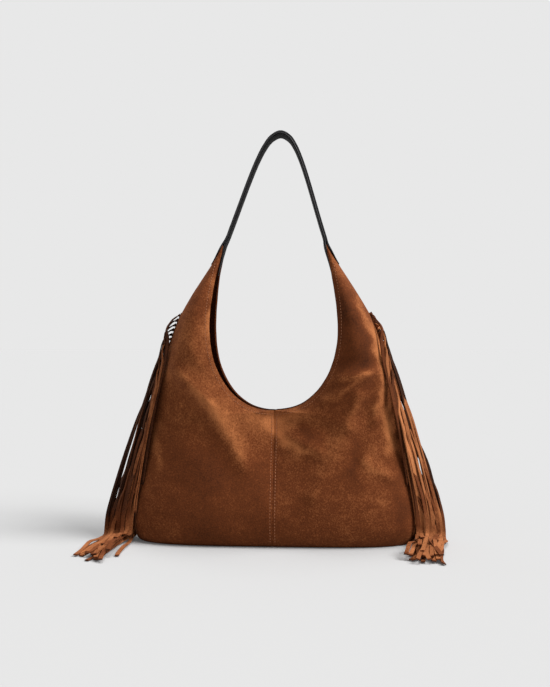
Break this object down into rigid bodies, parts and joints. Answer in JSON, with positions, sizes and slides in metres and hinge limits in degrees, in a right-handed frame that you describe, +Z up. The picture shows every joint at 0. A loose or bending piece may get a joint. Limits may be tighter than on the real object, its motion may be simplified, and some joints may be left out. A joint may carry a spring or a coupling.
{
  "type": "fringed shoulder bag",
  "caption": "Slouchy suede shoulder bag with a deep scooped mouth, pointed side arms, long cut fringe in each side seam and an arched two-ply leather strap.",
  "frame": {"origin": "middle of the flat base, on the surface that the bag stands on", "axes": "+Z up to the top of the strap, +X to the right as seen from the front, +Y to the back"},
  "size_m": [0.4908, 0.2396, 0.57],
  "materials": {
    "suede": "brown suede, soft matte nap",
    "fringe_suede": "brown suede, cut edges",
    "strap_leather": "black smooth grain, low sheen"
  },
  "bodies": {
    "root": {"front_panel_left": "suede", "front_panel_right": "suede", "back_panel_left": "suede", "back_panel_right": "suede", "base_panel": "suede", "fringe_left": "fringe_suede", "fringe_right": "fringe_suede", "strap_outer_ply": "strap_leather", "strap_inner_ply": "strap_leather"}
  },
  "joints": []
}
